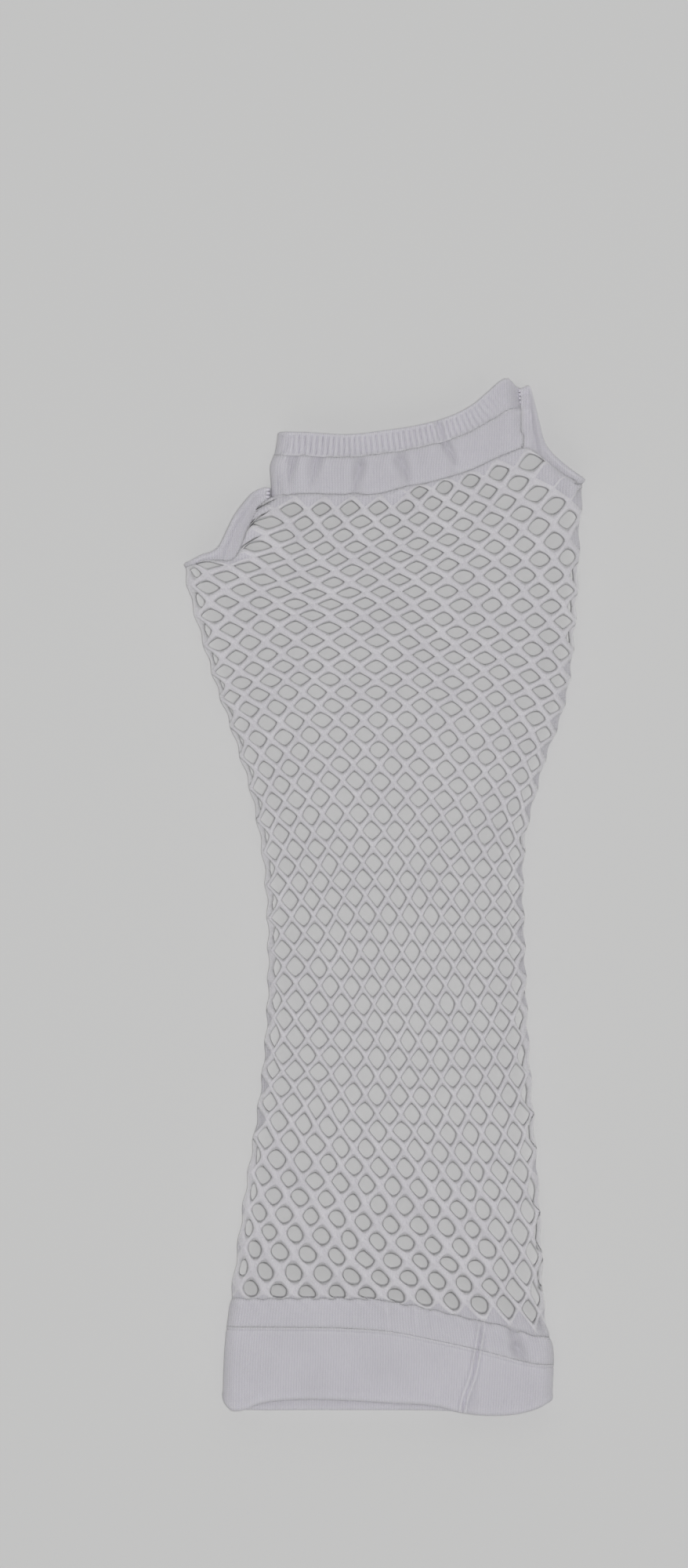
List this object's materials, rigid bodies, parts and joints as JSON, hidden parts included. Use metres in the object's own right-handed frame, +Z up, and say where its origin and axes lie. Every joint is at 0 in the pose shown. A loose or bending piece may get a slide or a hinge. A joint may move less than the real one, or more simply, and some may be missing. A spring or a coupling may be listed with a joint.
{
  "type": "mesh glove",
  "caption": "Fingerless net glove of forearm length, lying flat, open for thumb, middle fingers and little finger.",
  "frame": {"origin": "under the middle of the glove's bounding box, on the surface that it lies on", "axes": "+Y from the forearm to the fingers, +X to the little finger's side, +Z up through the two layers"},
  "size_m": [0.12, 0.3108, 0.0101],
  "materials": {
    "net_yarn": "soft white net yarn with a slight lilac cast",
    "plain_knit": "fine plain knit, white with a slight lilac cast",
    "rib_knit": "fine one-by-one rib, white with a slight lilac cast",
    "tack_thread": "white sewing thread"
  },
  "bodies": {
    "root": {"forearm_cuff": "plain_knit", "cuff_border": "plain_knit", "net_tube": "net_yarn", "thumb_band": "plain_knit", "finger_border": "plain_knit", "finger_band": "rib_knit", "little_finger_band": "plain_knit", "thumb_tack": "tack_thread", "finger_tack": "tack_thread"}
  },
  "joints": []
}
